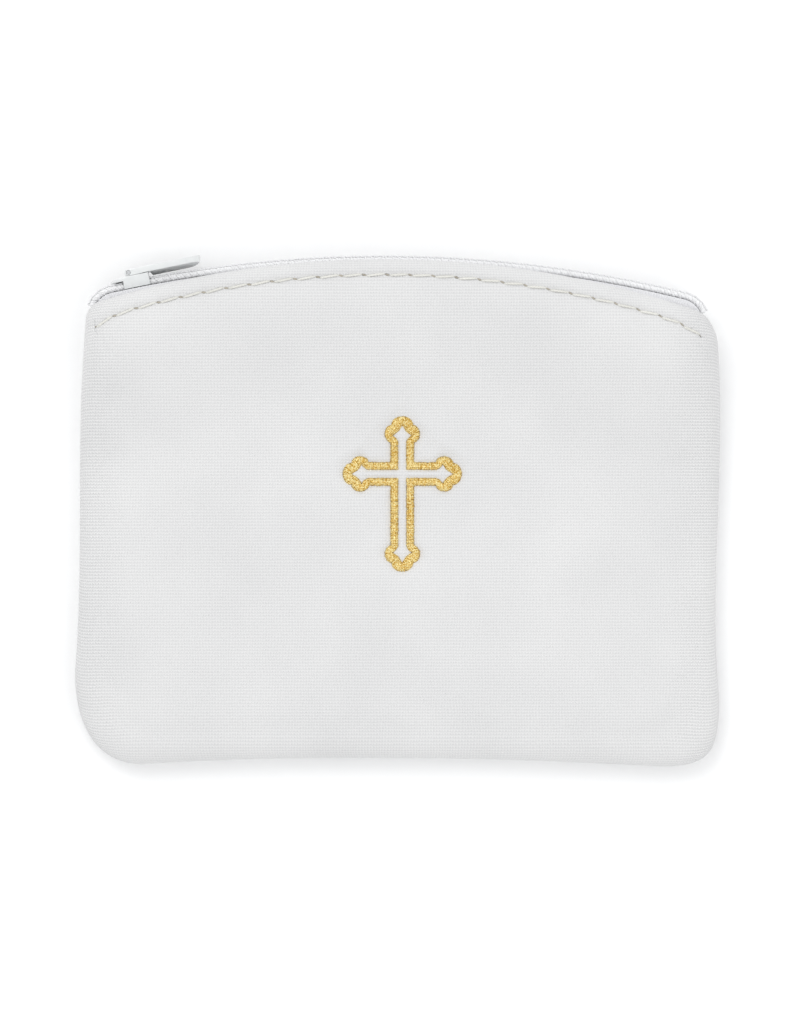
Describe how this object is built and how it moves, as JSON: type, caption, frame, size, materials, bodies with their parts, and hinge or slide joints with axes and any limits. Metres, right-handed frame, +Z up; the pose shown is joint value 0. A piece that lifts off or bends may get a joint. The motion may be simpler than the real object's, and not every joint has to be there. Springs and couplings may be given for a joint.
{
  "type": "zip pouch with embroidered cross",
  "caption": "Small flat zip pouch in padded white knit, arched top, coil zip with slider and pull tab, gold embroidered outline cross on the front.",
  "frame": {"origin": "on the surface the pouch lies on, under the middle of its bounding box", "axes": "+X to the right along the width, +Y from the bottom seam towards the zip, +Z up out of the front panel, which carries the cross"},
  "size_m": [0.114, 0.0901, 0.014],
  "materials": {
    "knit_laminate": "fine white jersey on foam, matt",
    "zip_tape": "woven polyester tape",
    "coil_nylon": "white nylon monofilament",
    "ivory_thread": "ivory sewing thread",
    "white_thread": "white sewing thread",
    "gold_thread": "metallic gold embroidery thread",
    "slider_enamel": "glossy white enamel",
    "pin_steel": "plain"
  },
  "bodies": {
    "pouch": {"front_panel": "knit_laminate", "back_panel": "knit_laminate", "topstitch_needle_front": "ivory_thread", "topstitch_needle_back": "ivory_thread", "topstitch_bobbin_front": "ivory_thread", "topstitch_bobbin_back": "ivory_thread", "side_seam_needle_thread": "white_thread", "side_seam_bobbin_thread": "white_thread", "cross_embroidery": "gold_thread", "cross_bobbin_thread": "white_thread", "zip_tape_front": "zip_tape", "zip_tape_back": "zip_tape", "zip_coil_front": "coil_nylon", "zip_coil_back": "coil_nylon", "zip_coil_cord_front": "white_thread", "zip_coil_cord_back": "white_thread", "zip_coil_thread_front": "white_thread", "zip_coil_thread_back": "white_thread"},
    "slider": {"slider_body": "slider_enamel", "pull_tab_pin": "pin_steel"},
    "pull_tab": {"pull_tab": "slider_enamel"}
  },
  "joints": [
    {"name": "slider_travel", "type": "hinge", "parent": "pouch", "child": "slider", "pos_m": [-0.0025, -0.17995, 0.00702], "axis": [0, 0, 1], "range_deg": [-24.2, 0]},
    {"name": "tab_swing", "type": "hinge", "parent": "slider", "child": "pull_tab", "pos_m": [-0.04745, 0.04203, 0.00702], "axis": [0, 0, 1], "range_deg": [0, 170]}
  ]
}
